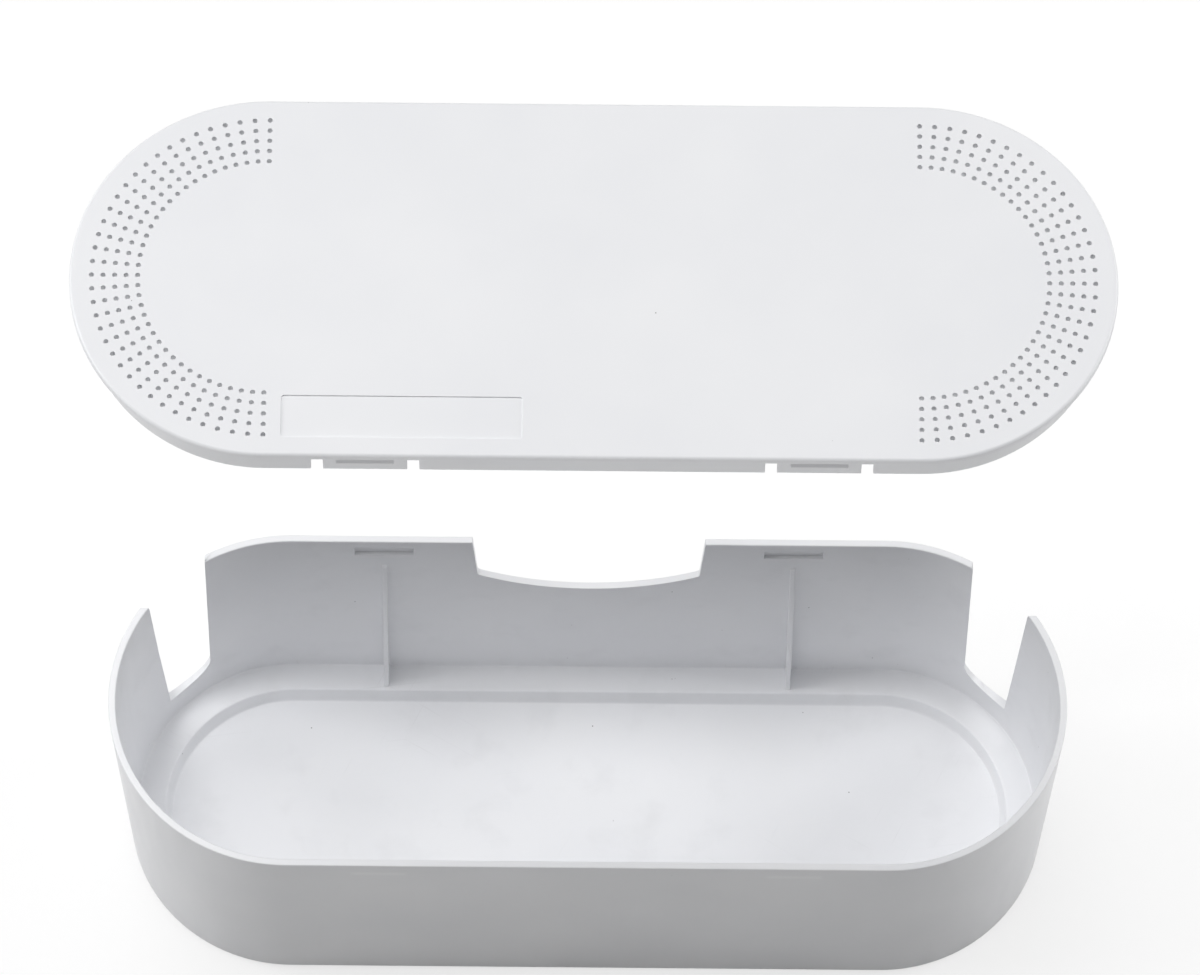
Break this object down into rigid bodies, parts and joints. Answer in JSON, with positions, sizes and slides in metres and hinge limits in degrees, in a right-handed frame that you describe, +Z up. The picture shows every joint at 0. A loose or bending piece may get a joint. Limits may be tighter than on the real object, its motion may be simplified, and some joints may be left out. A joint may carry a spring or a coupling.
{
  "type": "cable management box",
  "caption": "Long white plastic box with round ends for a power strip, with cable notches and a vented lift-off lid held by snap tabs.",
  "frame": {"origin": "on the ground under the middle of the tub", "axes": "+X to the right along the box, +Y to the rear, where the cable notches are, +Z up; the lid is lifted off along +Z"},
  "size_m": [0.325, 0.1226, 0.4245],
  "materials": {
    "shell": "white moulded ABS, fine satin",
    "foot": "soft grey rubber"
  },
  "bodies": {
    "tub": {"tub": "shell", "foot_front_left": "foot", "foot_front_right": "foot", "foot_rear_left": "foot", "foot_rear_right": "foot"},
    "lid": {"lid": "shell"},
    "clip_front_left": {"clip_front_left": "shell"},
    "clip_front_right": {"clip_front_right": "shell"},
    "clip_rear_left": {"clip_rear_left": "shell"},
    "clip_rear_right": {"clip_rear_right": "shell"}
  },
  "joints": [
    {"name": "lid_lift", "type": "slide", "parent": "tub", "child": "lid", "axis": [0, 0, 1], "range_m": [-0.32, 0]},
    {"name": "clip_front_left_flex", "type": "hinge", "parent": "lid", "child": "clip_front_left", "pos_m": [-0.07, -0.05655, 0.4215], "axis": [1, 0, 0], "range_deg": [0, 10], "stiffness_Nm_per_rad": 0.05},
    {"name": "clip_front_right_flex", "type": "hinge", "parent": "lid", "child": "clip_front_right", "pos_m": [0.07, -0.05655, 0.4215], "axis": [1, 0, 0], "range_deg": [0, 10], "stiffness_Nm_per_rad": 0.05},
    {"name": "clip_rear_left_flex", "type": "hinge", "parent": "lid", "child": "clip_rear_left", "pos_m": [-0.07, 0.05655, 0.4215], "axis": [-1, 0, 0], "range_deg": [0, 10], "stiffness_Nm_per_rad": 0.05},
    {"name": "clip_rear_right_flex", "type": "hinge", "parent": "lid", "child": "clip_rear_right", "pos_m": [0.07, 0.05655, 0.4215], "axis": [-1, 0, 0], "range_deg": [0, 10], "stiffness_Nm_per_rad": 0.05}
  ]
}
